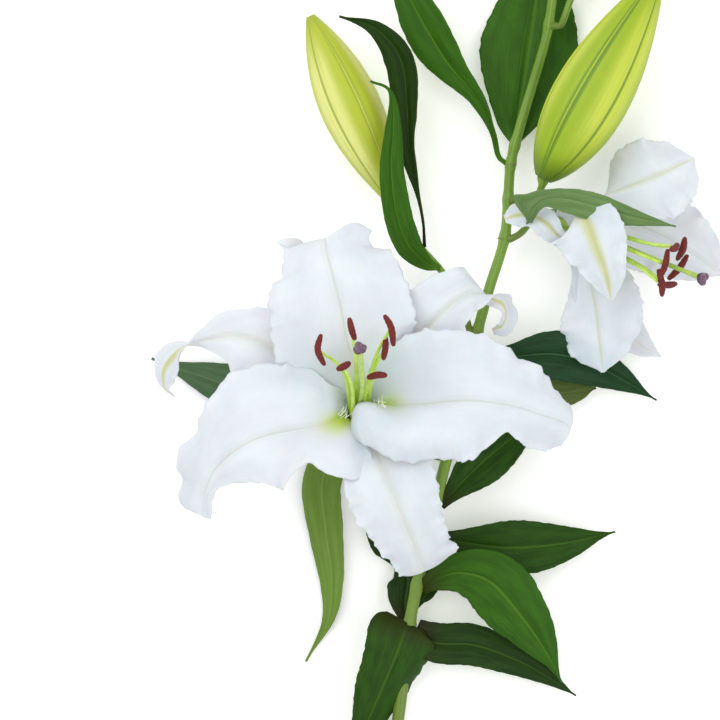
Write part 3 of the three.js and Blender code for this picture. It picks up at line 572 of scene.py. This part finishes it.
# steps are from the leaf's seat; the slopes fold, middle and edge are in degrees
leafDefaults = {
    "rows": 88, "side": 14, "thick": 0.6, "ragged": 0.015, "frill": 0, "groove": 0.6, "grooveWidth": 1.1,
    "pleat": 0.12, "swell": 0.6, "ruffleReach": 2.2, "outline": None, "slot": "leaf",
}
leafForms = {
    "leaf_lowest": dict(
        height=-107, out=(-0.3, -0.2, 1), face=(0.6, 0.5, 0.6), half=17, outline=heart, look="leafDeep",
        steps=[(-2, -4, 4), (-6, -15, 5), (-13, -32, -1), (-21, -50, -7), (-31, -66, -13)],
        fold=[25, 15, 10], middle=[0, -5, 0], edge=[-20, -25, -5], ruffle=12, waves=3,
        pulls=[(0.06, 0.85, 0.13, 0.55, (-6, 2, 1)), (0.06, -0.85, 0.12, 0.55, (5, 0, 1))],
    ),
    "leaf_low_right": dict(
        height=-112, out=(1, -0.2, 0.1), face=(0, 0.2, 1), half=11, outline=clasping, look="leafDark",
        steps=[(12, -5, 2), (30, -6, 1), (50, -13, -3), (67, -22, -7), (82, -32, -10)],
        fold=[22, 14, 12], middle=[5, 0, 0], edge=[-10, -15, -5], ruffle=10, waves=3,
    ),
    "leaf_low_left": dict(
        height=-106, out=(-1, 0.4, -0.3), face=(0, 0, 1), look="leafDark",
        left=[3, 6, 9, 10, 7, 5, 7, 9, 8, 5, 2, 0], right=[4, 7, 12, 16, 17, 15, 12, 10, 8, 5, 2, 0],
        steps=[(0, 9, -3), (1, 23, -6), (-8, 39, -7), (-25, 56, -7)],
        fold=[15, 8], middle=[0, 0], edge=[0, 0], ruffle=8, waves=2,
    ),
    "leaf_arching_right": dict(
        height=-88, out=(1, 0.3, 0.5), face=(-0.2, 0, 1), half=17, outline=lance, look="leafArch",
        steps=[(8, 5, 7), (20, 8, 12), (35, 3, 12), (50, -14, 6), (62, -31, -3), (71, -48, -10)],
        fold=[25, 15, 12], middle=[0, -8, 0], edge=[-10, -25, -5], ruffle=10, waves=3,
    ),
    "leaf_right": dict(
        height=-62, out=(1, 0, -0.2), face=(0, 0, 1), half=14, outline=lance, look="leafDeep",
        steps=[(14, -3, -2), (38, -6, -5), (65, -4, -8), (92, 2, -10)],
        fold=[20, 12, 10], middle=[0, 0, 0], edge=[0, -12, 0], ruffle=9, waves=3,
    ),
    "leaf_behind_right": dict(
        height=-47, out=(1, 0.1, 0.2), face=(0, 0, 1), half=12, outline=lance, look="leafDeep",
        steps=[(8, 9, 0), (20, 21, -3), (33, 32, -6), (46, 41, -9), (58, 46, -12)],
        fold=[25, 12, 5], middle=0, edge=[10, -5, 0], roll=[0, 0, 20, 60], ruffle=10, waves=3,
    ),
    "leaf_far_left": dict(
        height=-24, out=(-1, 0.2, -0.6), face=(0, 0, 1), half=13, outline=late, look="leafDull",
        steps=[(-20, 6, -9), (-50, 16, -12), (-84, 30, -14), (-112, 38, -15), (-147, 50, -18.5)],
        fold=[15, 8, 6], middle=0, edge=[0, -5, 0], ruffle=6, waves=3,
    ),
    "leaf_hanging_left": dict(
        height=-17, out=(-1, 0.3, -0.3), face=(0, 0, 1), half=10, outline=lance, look="leafUnder",
        slot="leaf_underside",
        steps=[(-14, 2, -6), (-34, 2, -10), (-54, -5, -11), (-62, -20, -13), (-60, -44, -14),
               (-57, -69, -15), (-59, -89, -17), (-70, -110, -19.7)],
        fold=[10, 8, 2], middle=0, edge=[0, -6, 0], ruffle=8, waves=3,
    ),
    "leaf_mid_right": dict(
        height=26, out=(1, 0, 0.1), face=(0, -0.2, 1), half=13, outline=lance, look="leafBlue",
        steps=[(18, 2, -2), (43, 3, -6), (68, -6, -12), (92, -20, -16)],
        fold=[35, 30, 20], middle=[15, 10, 5], edge=[10, 0, 0], ruffle=8, waves=3,
    ),
    "leaf_behind_middle": dict(
        height=6, out=(1, 0, -0.4), face=(0, 0, 1), half=8, outline=blunt, look="leafOlive",
        slot="leaf_underside",
        steps=[(16, 1, -7), (36, 2, -11), (54, 4, -13), (66, 6, -13)],
        fold=8, middle=0, edge=0, ruffle=5, waves=2,
    ),
    "leaf_upper_left": dict(
        height=125, out=(-1, 0.3, 0.2), face=(-0.3, -0.5, 1), half=12, outline=stalked, look="leafFresh",
        steps=[(-4, 4, 1), (-7, 16, 2), (-15, 33, 3), (-30, 51, 4), (-46, 78, 1), (-60, 104, -3)],
        fold=[35, 25, 15], middle=[10, 5, 0], edge=[10, -5, 0], ruffle=12, waves=4,
    ),
    "leaf_behind_top": dict(
        height=134, out=(0.2, 0.3, -1), face=(0, 0, 1), half=25, outline=wedge, look="leafFresh",
        steps=[(1, 12, -5), (5, 34, -9), (9, 60, -11), (13, 86, -12), (19, 108, -15.3)],
        fold=[15, 8, 6], middle=[0, 0, 0], edge=[0, -8, 0], ruffle=6, waves=3,
    ),
    "bract_left_bud": dict(
        stalk=("left_bud_stalk", 0.52), out=(0.2, 0.2, 1), face=(0.1, 0, 1), half=7.8, outline=thinTip,
        look="leafFresh",
        steps=[(-8, 3, 5), (-17, 13, 11), (-22.5, 30, 14), (-24.5, 51, 15), (-23.5, 69, 15), (-25, 88, 15),
               (-35, 93.5, 16)],
        fold=[25, 20, 14], middle=[10, 5, 0], edge=[0, -5, 0], ruffle=10, waves=3,
    ),
    "bract_beside_left_bud": dict(
        stalk=("left_bud_stalk", 0.7), out=(1, 0.6, 0.3), face=(-0.4, 0.2, 1), half=9, outline=thinFoot,
        look="leafDark",
        steps=[(-1, 12, 1), (-4, 28, 2), (-8, 50, 1), (-9, 72, 0), (-12, 94, 3), (-25, 110, 4), (-43, 116, 2)],
        fold=[40, 32, 20], middle=[25, 15, 5], edge=[20, 0, 0], roll=[0, 18, 8, 0], ruffle=10, waves=4,
    ),
    "bract_side_flower": dict(
        stalk=("side_flower_stalk", 0.42), out=(-0.2, -0.5, 1), face=(0, -1, 0.3), look="leafGrey",
        faces=[(0.2, -1, 0.2), (0.2, -0.7, 0.7), (0.1, -0.3, 1), (0, -0.1, 1), (0, -0.1, 1), (0, 0, 1)],
        left=[1.2, 1.4, 1.6, 2.4, 11, 7.5, 5.5, 5.5, 6.5, 7, 6.8, 6, 5, 3.8, 2.4, 1.2, 0],
        right=[1.2, 1.3, 1.4, 1.5, 2, 3, 5, 6.5, 7, 7, 6.6, 6, 5, 3.8, 2.4, 1.2, 0],
        steps=[(1, 1, 12), (2, 4, 21), (4.5, 9.5, 27), (9, 13, 29), (18, 13.5, 31), (32, 10, 33), (52, 4.5, 33),
               (74, 0, 29)],
        pulls=[(0.25, -1, 0.05, 0.7, (0, 7, 0))],
        fold=[20, 12, 10], middle=0, edge=[0, -12, 0], ruffle=14, waves=4,
    ),
}
paleLeaves = ("leafUnder", "leafGrey", "leafDull", "leafOlive")  # these have a green back
leafClearance = -0.1  # a leaf's foot is just under the stem's skin
bractReach = 1.7  # from the middle of a stalk to a bract's foot
for number, (node, form) in enumerate(leafForms.items()):
    if "stalk" in form:
        path = stalkPaths[form["stalk"][0]]
        k = int(form["stalk"][1] * (len(path) - 1))
        tangent = unit(path[k + 1] - path[k - 1])
        away = np.asarray(form["out"], float)
        seat = path[k] + unit(away - tangent * (away @ tangent)) * bractReach
    else:
        seat = seatOnStem(form["height"], form["out"], leafClearance)
    spine = [seat] + [seat + np.asarray(step, float) for step in form["steps"]]
    form = {**leafDefaults, "seed": 20 + number, **form}
    back = "leafFresh" if form["look"] in paleLeaves else "leafUnder"
    looks = [leafLooks[form["look"]], leafLooks[back]]
    left, right = halfWidths(form, form["outline"])
    blade = growBlade(node.replace("_", "") + "Blade", spine, form["face"], left, right, looks, form)
    standFor(blade, form["slot"], node)
print("leaves made")

# buds: way is where one points, rib is the side its first rib is on
budForms = {
    "left_bud": dict(
        stalk="left_bud_stalk", length=109.5, radius=15.4, way=(-0.415, 0.91, 0.0), rib=(0.3, 0.1, 1),
        belly=1.1, look=leftBudLook, slot="pale_bud",
    ),
    "right_bud": dict(
        stalk="right_bud_stalk", length=120, radius=19.5, way=(0.49, 0.86, 0.03), rib=(-0.27, 0.15, 0.95),
        belly=0.75, look=rightBudLook, slot="green_bud",
    ),
    "end_bud": dict(
        stalk=None, length=72, radius=10.5, way=(0.12, 0.97, 0.09), rib=(0.4, 0, 1),
        belly=0.75, look=rightBudLook, slot="green_bud",
    ),
    "top_bud": dict(
        stalk="top_bud_stalk", length=60, radius=9, way=(0.55, 0.82, 0.05), rib=(-0.5, 0.2, 1),
        belly=0.75, look=rightBudLook, slot="green_bud",
    ),
}
budShape = {"ahead": 0.9, "sunk": 1.5, "tipRadius": 0.9}  # where it sits on its stalk's end, and its tip
for node, form in budForms.items():
    base = stalkPaths[form["stalk"]] if form["stalk"] else stemPath
    axis, way, length = unit(base[-1] - base[-2]), unit(form["way"]), form["length"]
    start = base[-1] + axis * budShape["ahead"] - way * budShape["sunk"]
    path = smoothPath([start, start + way * length * 0.5, start + way * length], 120)

    def budSurface(t, angle, form=form):
        body = np.sin(np.pi * (0.02 + 0.95 * t) ** form["belly"]) ** 0.85
        third = np.mod(3 * angle / (2 * np.pi), 1)
        seam = np.exp(-(((third - 0.5) / 0.035) ** 2))
        rib = np.exp(-((np.minimum(third, 1 - third) / 0.045) ** 2))
        lobes = 0.04 * np.cos(3 * angle)
        return np.maximum(form["radius"] * body * (1 + lobes - 0.05 * seam - 0.035 * rib), budShape["tipRadius"])

    spindle = growRod(node.replace("_", "") + "Spindle", path, budSurface, 120, [form["look"]], form["rib"])
    standFor(spindle, form["slot"], node)
print("buds made")


# Flowers. A flower's own frame: its seat on the stalk, the way it faces, and a place by its turn
# round that way, how far out and how far ahead.
def flowerFrame(stalkName, axis, up):
    forward = unit(axis)
    above = np.asarray(up, float)
    above = unit(above - forward * (above @ forward))
    rightward = np.cross(above, forward)
    seat = stalkPaths[stalkName][-1] + forward * 0.3

    def place(turn, out, ahead):
        radial = rightward * math.cos(math.radians(turn)) + above * math.sin(math.radians(turn))
        return seat + radial * out + forward * ahead

    return seat, forward, place


openSeat, openForward, openPlace = flowerFrame("open_flower_stalk", (0, 0.36, 0.93), (0, 1, 0))
petalForm = {
    "rows": 170, "side": 26, "thick": 0.5, "ragged": 0.025, "frill": 0.028, "groove": 1.1, "grooveWidth": 1.7,
    "pleat": 0, "swell": 0, "ruffleReach": 2.6,
}
openTepals = {
    "top_petal": dict(
        turn=100, ring=5.3, looks=[petalFace, petalBack], seed=3, tube=[(5.4, 12), (6.4, 25)],
        spine=[(-2, 13, 66), (-4, 23, 71), (-8, 36, 79), (-11, 52, 82), (-15, 68, 80), (-18, 79, 74),
               (-19, 86, 66), (-19.5, 86.5, 56)],
        left=[3, 5, 7, 11, 19, 31, 35, 37, 37, 37, 36, 35, 31, 25, 22, 23, 12],
        right=[3, 6, 10, 16, 22, 27, 31, 34, 36, 36, 35.5, 34.5, 32, 27.5, 23, 20.5, 13],
        fold=[0, 10, 14, 14, 10, 5], middle=[30, 20, 6, 0, -5, -10], edge=[50, 20, -8, -15, -15, -25],
        ruffle=[0, 0, 6, 14, 26, 32], waves=4.5,
        pulls=[(0.95, -1.0, 0.05, 0.13, (-1, 7, 3)), (0.96, 0.68, 0.07, 0.4, (3, 6, 6))],
    ),
    "left_petal": dict(
        turn=206, ring=5.3, looks=[petalFace, petalBack], seed=7, tube=[(5.4, 12), (6.4, 25)],
        spine=[(-17, -5.5, 71), (-30, -8, 77), (-50, -12, 83), (-65, -20, 80), (-75, -30, 70), (-80, -43, 58),
               (-79, -52, 48)],
        right=[3, 6, 9, 14, 22, 28, 32, 34, 36, 34, 28, 24, 21, 17, 15, 10, 4],
        left=[3, 6, 12, 26, 31, 25, 18, 22, 29, 25, 20, 16, 12, 7, 6, 6, 4],
        fold=[0, 12, 16, 14, 10, 5], middle=[30, 25, 4, -4, -8, -10], edge=[50, 30, 0, -18, -20, -20],
        middleLeft=[30, 10, 0, -4, -8, -10], edgeLeft=[50, 0, -20, -20, -20, -20],
        ruffle=[0, 0, 8, 18, 28, 30], waves=5,
        pulls=[(0.81, 0.85, 0.06, 0.3, (-6, -2, -1)), (0.94, 0.85, 0.05, 0.45, (-7, -4, 0)),
               (0.97, 0.1, 0.04, 0.5, (0, -2, 0))],
    ),
    "right_petal": dict(
        turn=353, ring=5.3, looks=[petalFace, petalBack], seed=14, tube=[(5.4, 12), (6.4, 25)],
        spine=[(16, 3, 71), (30, 4, 77), (50, 6, 84), (70, 4, 83), (85, 0, 75), (96, -6, 63), (101, -12, 52)],
        left=[3, 6, 9, 14, 24, 33, 36, 37, 35.5, 34, 30, 26.5, 24, 21, 16.5, 13, 5],
        right=[3, 6, 13, 23, 31, 34, 31, 31, 32, 30, 24, 14, 16, 18, 16, 13, 6],
        fold=[0, 12, 16, 14, 10, 5], middle=[30, 25, 6, -2, -8, -10], edge=[50, 30, 0, -15, -20, -20],
        foldRight=[0, 55, 36, 14, 10, 5], middleRight=[30, 20, 10, -2, -8, -10],
        edgeRight=[40, -40, -50, -20, -20, -20],
        ruffle=[0, 0, 6, 16, 30, 40], waves=6, frill=0.035,
        pulls=[(0.2, 0.35, 0.08, 0.32, (-3.5, 8, 9)), (0.22, 0.8, 0.08, 0.35, (-5, 3, 2)),
               (0.92, -0.3, 0.08, 0.7, (6, 1, 0))],
    ),
    "upper_left_sepal": dict(
        turn=160, ring=6.7, looks=[sepalFace, sepalBack], seed=21, tube=[(7.0, 11), (7.8, 21)],
        spine=[(-15, 11, 64), (-30, 20, 68), (-48, 33, 71), (-64, 38, 68), (-77, 36, 62), (-85, 33.5, 55),
               (-93, 29, 48), (-99, 21, 42), (-99, 13, 36), (-95, 8, 31)],
        right=[3, 5, 8, 11, 14, 17, 20, 21, 18, 14, 11, 6, 3.5, 9, 9.5, 5.5, 1],
        left=[3, 5, 8, 11, 14, 18, 20, 21, 21, 19, 11, 5, 3.5, 8, 9.5, 6, 1],
        fold=[0, 10, 10, 10, 10, 10, 5], middle=[20, 15, 0, 0, 0, -5, -5], edge=[40, 20, -5, -10, 0, -10, -10],
        roll=[0, 0, 0, 0, 0, 0, 0, 0, 0, 0, 0, 25, 95, 165, 180, 180, 180],
        ruffle=[0, 0, 5, 12, 20, 30, 30], waves=7,
    ),
    "upper_right_sepal": dict(
        turn=46, ring=6.7, looks=[sepalFace, sepalBack], seed=28, tube=[(7.0, 11), (7.8, 21)],
        spine=[(13, 20, 66), (25, 34, 70), (38, 48, 73), (49, 57, 70), (58, 60, 63), (64, 58, 57), (69, 53.5, 52),
               (70.5, 48, 48), (69, 43.5, 45), (65, 41, 43)],
        left=[3, 5, 8, 11, 14, 16, 18, 20, 20, 19, 17.5, 15, 12.5, 7, 3, 2.5, 1],
        right=[3, 5, 8, 11, 14, 16, 17, 17, 16, 14.5, 12, 10, 8, 4, 7.5, 10, 3],
        fold=[0, 10, 10, 10, 10, 15, 20], middle=[20, 15, 0, 0, 0, -5, -10], edge=[40, 20, -5, -10, 0, -10, -10],
        roll=[0, 0, 0, 0, 0, 0, 0, 0, 0, 0, 0, 0, 15, 95, 165, 180, 180],
        ruffle=[0, 0, 5, 12, 20, 35, 40], waves=8,
    ),
    "bottom_sepal": dict(
        turn=286, ring=6.7, looks=[sepalFace, sepalBack], seed=35, tube=[(7.0, 10), (7.8, 17)],
        spine=[(5, -15, 64), (9.5, -27, 71), (15, -40, 73), (20, -53, 70), (25, -65, 61), (29, -75, 50),
               (31, -80, 41)],
        right=[3, 5, 8, 11, 16, 19, 21, 22.5, 23, 22.5, 20, 19, 17.5, 16.5, 14, 13, 11],
        left=[3, 5, 8, 12, 22, 26, 27, 24, 23, 22.5, 20.5, 20, 19, 18, 19, 20, 17],
        fold=[0, 10, 12, 10, 8, 5], middle=[20, 15, 0, -5, -8, -10], edge=[40, 20, -8, -15, -15, -20],
        ruffle=[0, 0, 8, 20, 32, 36], waves=6,
    ),
}
for node, form in openTepals.items():
    turn = form["turn"]
    start = openPlace(turn, form["ring"], 0.3)
    inward = openPlace(turn, 0, 0) - openPlace(turn, 1, 0)
    spine = [start, *[openPlace(turn, *step) for step in form["tube"]], *form["spine"]]
    outward = unit((spine[-3][0] - openSeat[0], spine[-3][1] - openSeat[1], 0.0))
    up = np.array((0, 0, 1.0))
    # the face looks inward in the tube, then up, then outward where the tip rolls back
    faces = [
        inward, inward * 0.8 + up * 0.3, up - outward * 0.3, up, up + outward * 0.3, up + outward * 0.7,
        up + outward * 1.2,
    ]
    form = {**petalForm, "faces": faces, **form}
    left, right = halfWidths(form)
    blade = growBlade(node.replace("_", "") + "Blade", spine, inward, left, right, form["looks"], form)
    standFor(blade, "petal", node)

_, sideForward, sidePlace = flowerFrame("side_flower_stalk", (0.86, -0.36, 0.36), (0, 0, 1))
sideTepals = {
    "side_left_sepal": dict(
        turn=142, ring=6.7, looks=[sepalBack, sepalFace], seed=42,
        steps=[(3, -7, 9), (3, -10, 13), (-1, -8, 15), (-6, -2, 13), (-13, 2, 9), (-20, 2, 5), (-26, 0, 3)],
        faces=[(-0.7, -0.4, 0.6), (-0.8, -0.5, 0.3), (-0.4, -0.5, 0.8), (-0.1, 0, 1), (0, 0.2, 1), (-0.2, 0, 1)],
        left=[1.5, 2.5, 4.5, 6, 7, 7.5, 6.5, 6, 6.5, 5.5, 2],
        right=[1.5, 2.5, 4.5, 6, 7, 7.5, 6.5, 6, 6.5, 5.5, 2],
        fold=[0, 5, 5, 15], middle=[20, 5, 0, 0], edge=[30, 10, 0, 0],
    ),
    "side_near_sepal": dict(
        turn=58, ring=6.7, looks=[sepalBack, sepalFace], seed=49,
        left=[2, 4, 8, 13, 16, 17, 16, 13, 10, 6, 1], right=[2, 6, 14, 20, 21, 19, 17, 14, 10, 6, 1],
        steps=[(6, 4, 11), (10, 4, 22), (14, -2, 29), (19, -15, 31), (24, -29, 27), (27, -41, 18)],
        faces=[(-0.3, 0.3, 1), (-0.2, 0.1, 1), (-0.3, 0, 1), (-0.3, 0, 1), (-0.2, -0.2, 1), (0, -0.4, 1)],
        fold=[0, -10, -15, -10], middle=[0, -5, -5, 0], edge=[-20, -20, 0, 10],
    ),
    "side_low_sepal": dict(
        turn=240, ring=6.7, half=15, looks=[petalFace, sepalBack], seed=56,
        steps=[(7, -11, -3), (16, -24, -9), (23, -38, -16), (32, -51, -23), (43, -62, -27), (54, -69, -31)],
        fold=[0, 5, 5, 5], middle=[20, 5, 0, 0], edge=[30, 10, 0, 0],
    ),
    "side_hanging_petal": dict(
        turn=205, ring=5.3, looks=[petalBack, petalFace], seed=63,
        left=[2, 5, 10, 15, 19, 22, 24, 24, 22, 18, 12, 1], right=[2, 3, 5, 7, 9, 12, 15.5, 18.5, 19, 17, 12, 1],
        steps=[(7, -7, -2), (13, -18, -3), (17, -32, -4), (20, -47, -6), (22, -62, -10), (24, -77, -16)],
        faces=[(-0.8, -0.5, 0.3), (-0.5, -0.2, 0.9), (-0.3, -0.1, 1), (-0.2, 0, 1), (-0.1, 0, 1), (0, -0.2, 1)],
        fold=[0, -8, -5, 0], middle=[-20, -8, 0, 0], edge=[-30, -25, -20, -20],
    ),
    "side_upper_petal": dict(
        turn=5, ring=5.3, half=24, looks=[petalFace, petalBack], seed=70,
        steps=[(10, 5, 3), (22, 10, 5), (36, 15, 4), (50, 21, -1), (62, 27, -8), (70, 31, -16)],
        fold=[0, 8, 5, 0], middle=[20, 10, 0, 0], edge=[40, 20, 0, -10], roll=[0, 0, -40, -70, -80, -80],
    ),
    "side_far_petal": dict(
        turn=300, ring=5.3, half=22, looks=[petalFace, petalBack], seed=77,
        steps=[(11, 2, -6), (24, 2, -12), (40, -2, -17), (58, -10, -22), (74, -20, -27), (84, -28, -30)],
        fold=[0, 8, 5, 0], middle=[20, 10, 0, 0], edge=[40, 20, 0, -10],
    ),
}
broad = [0.1, 0.2, 0.42, 0.68, 0.88, 1.0, 1.0, 0.92, 0.76, 0.5, 0.03]
narrow = [0.14, 0.26, 0.5, 0.8, 0.98, 1.0, 0.92, 0.76, 0.56, 0.34, 0.03]
sepalRing = 6.0  # a tepal seated further out than this is a sepal
for node, form in sideTepals.items():
    centre = sidePlace(0, 0, 0)
    inward = centre - sidePlace(form["turn"], 1, 0)
    start = sidePlace(form["turn"], form["ring"], 0.5)
    spine = [start, *[centre + np.asarray(step, float) for step in form["steps"]]]
    form = {**petalForm, "ruffle": [0, 0, 8, 18, 28, 30], "waves": 4.5, **form}
    left, right = halfWidths(form, narrow if form["ring"] > sepalRing else broad)
    blade = growBlade(node.replace("_", "") + "Blade", spine, inward, left, right, form["looks"], form)
    standFor(blade, "petal", node)

# short white hairs beside the throat
hairForm = {"count": 26, "length": 3.6, "thick": 0.2, "leftFoot": (-9.5, -0.5, 72.5), "rightFoot": (8.5, 4.0, 81.5)}
dice = np.random.default_rng(5)


def hairSurface(t, angle):
    return hairForm["thick"] * (1 - 0.6 * t) + 0 * angle


for i in range(hairForm["count"]):
    side = -1 if i % 2 else 1
    foot = np.array(hairForm["leftFoot" if side < 0 else "rightFoot"]) + dice.uniform(-1, 1, 3) * (3.0, 1.8, 0.6)
    lean = unit((-side * 0.5, 0.5, 0.9) + dice.uniform(-0.5, 0.5, 3)) * hairForm["length"]
    hair = smoothPath([foot - lean * 0.4, foot + lean * 0.4, foot + lean + (side * 0.3, 0.2, 0)], 8)
    standFor(growRod("throatHair" + str(i + 1), hair, hairSurface, 6, [hairLook]), "petal")
print("tepals made")

# stamens and pistils: an anther's ends and middle, and where its filament passes
stamenForms = {
    "1": dict(turn=165, ends=[(-20.7, 38.5, 104), (-22.3, 31, 107), (-19, 23.5, 104)], via=(-10, 21, 92)),
    "2": dict(turn=225, ends=[(-12.7, 21.3, 108), (-9.5, 22.8, 110), (-6.4, 24.6, 108)], via=(-5.5, 13, 92)),
    "3": dict(turn=110, ends=[(-6.8, 46.5, 106), (-5.6, 41, 109), (-4, 36, 107)], via=(-3.4, 24, 92)),
    "4": dict(turn=50, ends=[(10.5, 48, 106), (13.8, 42, 108), (15, 33, 105)], via=(6, 27, 92)),
    "5": dict(turn=10, ends=[(11.2, 37.5, 100), (11, 32, 102), (10, 26.3, 99)], via=(5, 20, 84)),
    "6": dict(turn=290, ends=[(2.2, 17.2, 100), (7, 18.6, 102), (11.6, 18.4, 100)], via=(1.8, 12, 84)),
}
stamenRadii = {"filamentTip": 0.75, "filamentFoot": 1.25, "anther": 1.8}  # the foot adds to the tip
openStamenPath = [(3.2, 0.4), (4.0, 26)]  # out and ahead of the flower's seat
sideStamenPath = [(3.2, 0.6), (4.8, 27), (7, 50), (11, 64)]
sideAntherHalf = 8


def filamentSurface(t, angle):
    return stamenRadii["filamentTip"] + stamenRadii["filamentFoot"] * (1 - t) ** 1.3 + 0 * angle


def antherSurface(t, angle):
    body = np.sin(np.pi * (0.03 + 0.94 * t)) ** 0.3
    halves = 1 - 0.2 * np.exp(-((np.mod(angle, np.pi) - np.pi / 2) / 0.28) ** 2)
    return stamenRadii["anther"] * body * halves * (1 + 0.05 * np.sin(9 * angle + 40 * t))


def growStamen(tag, path, antherPath, nodes):
    filament = growRod("filament" + tag, path, filamentSurface, 14, [filamentLook])
    anther = growRod("anther" + tag, antherPath, antherSurface, 28, [antherLook], openForward)
    standFor(filament, "filament", *nodes[:1])
    standFor(anther, "anther", *nodes[1:])


for tag, form in stamenForms.items():
    underAnther = np.asarray(form["ends"][1], float) - (0, 0, 1.6)
    foot = [openPlace(form["turn"], out, ahead) for out, ahead in openStamenPath]
    path = smoothPath([*foot, form["via"], underAnther], 50)
    growStamen(tag, path, smoothPath(form["ends"], 44), ["filament_" + tag, "anther_" + tag])
for i in range(6):
    turn = 60 * i + 35
    path = smoothPath([sidePlace(turn, out, ahead) for out, ahead in sideStamenPath], 50)
    tilt = unit(sidePlace(turn + 70, 1, 0.2) - sidePlace(turn, 0, 0)) * sideAntherHalf
    end = path[-1] + sideForward * 1.5
    antherPath = smoothPath([end - tilt, end + sideForward, end + tilt], 40)
    growStamen("Side" + str(i + 1), path, antherPath, ["side_stamen_" + str(i + 1)])

pistilForm = {"ovary": 2.7, "style": 1.15, "styleTip": 0.35, "lobe": 0.8, "lobeSwell": 1.45}


def pistilSurface(t, angle):
    ovary = pistilForm["ovary"] * (1 - ease(t / 0.3)) * (1 + 0.1 * np.cos(3 * angle))
    style = pistilForm["style"] + pistilForm["styleTip"] * ease((t - 0.85) / 0.15)
    return np.maximum(ovary, style)


def lobeSurface(t, angle):
    swell = pistilForm["lobeSwell"] * np.sin(np.pi * np.clip(0.1 + 0.82 * t, 0, 1))
    return pistilForm["lobe"] + swell + 0.1 * np.sin(7 * angle + 12 * t)


# a pistil with its three-lobed stigma
def growPistil(tag, points, node):
    path = smoothPath(points, 90)
    standFor(growRod("style" + tag, path, pistilSurface, 24, [pistilLook]), "pistil", node)
    tip, way = path[-1], unit(path[-1] - path[-4])
    start = np.cross(way, (1, 0, 0.2))
    for lobe in range(3):
        a = math.radians(120 * lobe + 25)
        out = unit(start) * math.cos(a) + np.cross(way, unit(start)) * math.sin(a)
        arc = smoothPath([tip - way * 1.2, tip + out * 1.6 + way * 1.2, tip + out * 3.2 + way * 0.6], 20)
        standFor(growRod("stigma" + tag + str(lobe + 1), arc, lobeSurface, 20, [stigmaLook]), "pistil")


openPistil = [openSeat + openForward * 0.6, openPlace(90, 0, 30), (-0.3, 14, 100), (-1.6, 31, 116)]
sidePistil = [sidePlace(90, out, ahead) for out, ahead in ((0, 0.6), (0, 30), (0.5, 58), (4, 84))]
growPistil("Open", openPistil, "pistil")
growPistil("Side", sidePistil, "side_pistil")
print("stamens and pistils made")

# floor, light and camera
floorForm = {"reach": 6.0, "low": tone(248, 248, 248), "high": tone(250, 250, 250), "glow": 0.2}
floorLook, floorTree, floorShader = startLook(
    "paleFloor", **{"Roughness": 0.9, "Emission Color": (1, 1, 1, 1), "Emission Strength": floorForm["glow"]}
)
floorGrain = addNoise(floorTree, addNode(floorTree, "ShaderNodeTexCoord").outputs["Object"], 3.0, 2)
floorColour = mixTone(floorTree, floorGrain, floorForm["low"], floorForm["high"])
floorTree.links.new(floorColour, floorShader.inputs["Base Color"])
reach = floorForm["reach"]
floorMesh = bpy.data.meshes.new("floor")
floorCorners = [(-reach, -reach, 0), (reach, -reach, 0), (reach, reach, 0), (-reach, reach, 0)]
floorMesh.from_pydata(floorCorners, [], [(0, 1, 2, 3)])
floorMesh.materials.append(floorLook)
floor = bpy.data.objects.new("floor", floorMesh)
bpy.context.scene.collection.objects.link(floor)

lightForm = {
    "key": dict(at=(-0.9, 0.9, 1.9), size=1.8, power=24),
    "fill": dict(at=(1.2, -0.7, 1.7), size=1.8, power=15),
}
skyStrength = 0.78
for name, form in lightForm.items():
    lamp = bpy.data.lights.new(name, "AREA")
    lamp.energy, lamp.size = form["power"], form["size"]
    light = bpy.data.objects.new(name, lamp)
    light.location = form["at"]
    light.rotation_euler = (-Vector(form["at"])).to_track_quat("-Z", "Y").to_euler()
    bpy.context.scene.collection.objects.link(light)
world = bpy.data.worlds.new("softSky")
world.use_nodes = True
sky = world.node_tree.nodes["Background"]
sky.inputs["Color"].default_value = (1, 1, 1, 1)
sky.inputs["Strength"].default_value = skyStrength
bpy.context.scene.world = world
bpy.context.scene.view_settings.view_transform = "Standard"

# straight down; width is what the view takes in at its centre's height, in metres
cameraForm = {"centre": (-1.5, 26, 50), "width": 0.36, "away": 3.6, "sensor": 36, "farthest": 50}
lens = bpy.data.cameras.new("view")
lens.sensor_width = cameraForm["sensor"]
lens.lens = cameraForm["sensor"] * cameraForm["away"] / cameraForm["width"]
lens.clip_end = cameraForm["farthest"]
camera = bpy.data.objects.new("view", lens)
camera.location = toMetres(cameraForm["centre"]) + np.array((0, 0, cameraForm["away"]))
bpy.context.scene.collection.objects.link(camera)
bpy.context.scene.camera = camera
print("floor, light and camera made")
